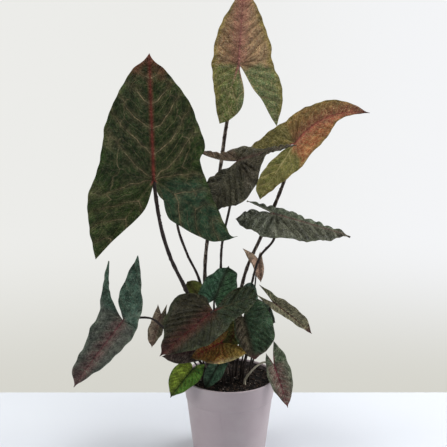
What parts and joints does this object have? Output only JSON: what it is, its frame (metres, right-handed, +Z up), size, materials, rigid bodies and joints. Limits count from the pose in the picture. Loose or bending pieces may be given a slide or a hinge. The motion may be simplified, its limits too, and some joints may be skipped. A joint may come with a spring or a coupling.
{
  "type": "potted cyrtosperma johnstonii",
  "caption": "Potted aroid house plant with arrow-shaped leaves on thin petioles, standing in a plain tapered pot filled with soil.",
  "frame": {"origin": "centre of the pot's flat base, on the surface that it stands on", "axes": "+Z up along the pot's axis; -Y is the side with the widest leaves, which the picture shows; +X is that view's right"},
  "size_m": [0.3688, 0.1642, 0.5969],
  "materials": {
    "pot": "satin",
    "soil": "matte",
    "leaf": "satin",
    "petiole": "matte"
  },
  "bodies": {
    "root": {"pot": "pot", "soil": "soil", "leaf_tall_front_left": "leaf", "petiole_tall_front_left": "petiole", "leaf_tall_top": "leaf", "petiole_tall_top": "petiole", "leaf_tall_right_pink": "leaf", "petiole_tall_right_pink": "petiole", "leaf_tall_middle_dark": "leaf", "petiole_tall_middle_dark": "petiole", "leaf_tall_right_level": "leaf", "petiole_tall_right_level": "petiole", "leaf_tall_rear_left": "leaf", "petiole_tall_rear_left": "petiole", "leaf_hanging_left": "leaf", "petiole_hanging_left": "petiole", "leaf_low_heart": "leaf", "petiole_low_heart": "petiole", "leaf_low_teal": "leaf", "petiole_low_teal": "petiole", "leaf_low_rust": "leaf", "petiole_low_rust": "petiole", "leaf_low_round": "leaf", "petiole_low_round": "petiole", "leaf_rim_green": "leaf", "petiole_rim_green": "petiole", "leaf_rim_right": "leaf", "petiole_rim_right": "petiole", "leaf_right_striped": "leaf", "petiole_right_striped": "petiole", "leaf_right_bronze": "leaf", "petiole_right_bronze": "petiole", "leaf_left_small": "leaf", "petiole_left_small": "petiole", "leaf_low_rear_right": "leaf", "petiole_low_rear_right": "petiole", "leaf_rim_dark": "leaf", "petiole_rim_dark": "petiole", "leaf_low_mottled": "leaf", "petiole_low_mottled": "petiole", "leaf_low_pale_teal": "leaf", "petiole_low_pale_teal": "petiole", "leaf_low_shaded": "leaf", "petiole_low_shaded": "petiole", "leaf_low_olive": "leaf", "petiole_low_olive": "petiole"}
  },
  "joints": []
}
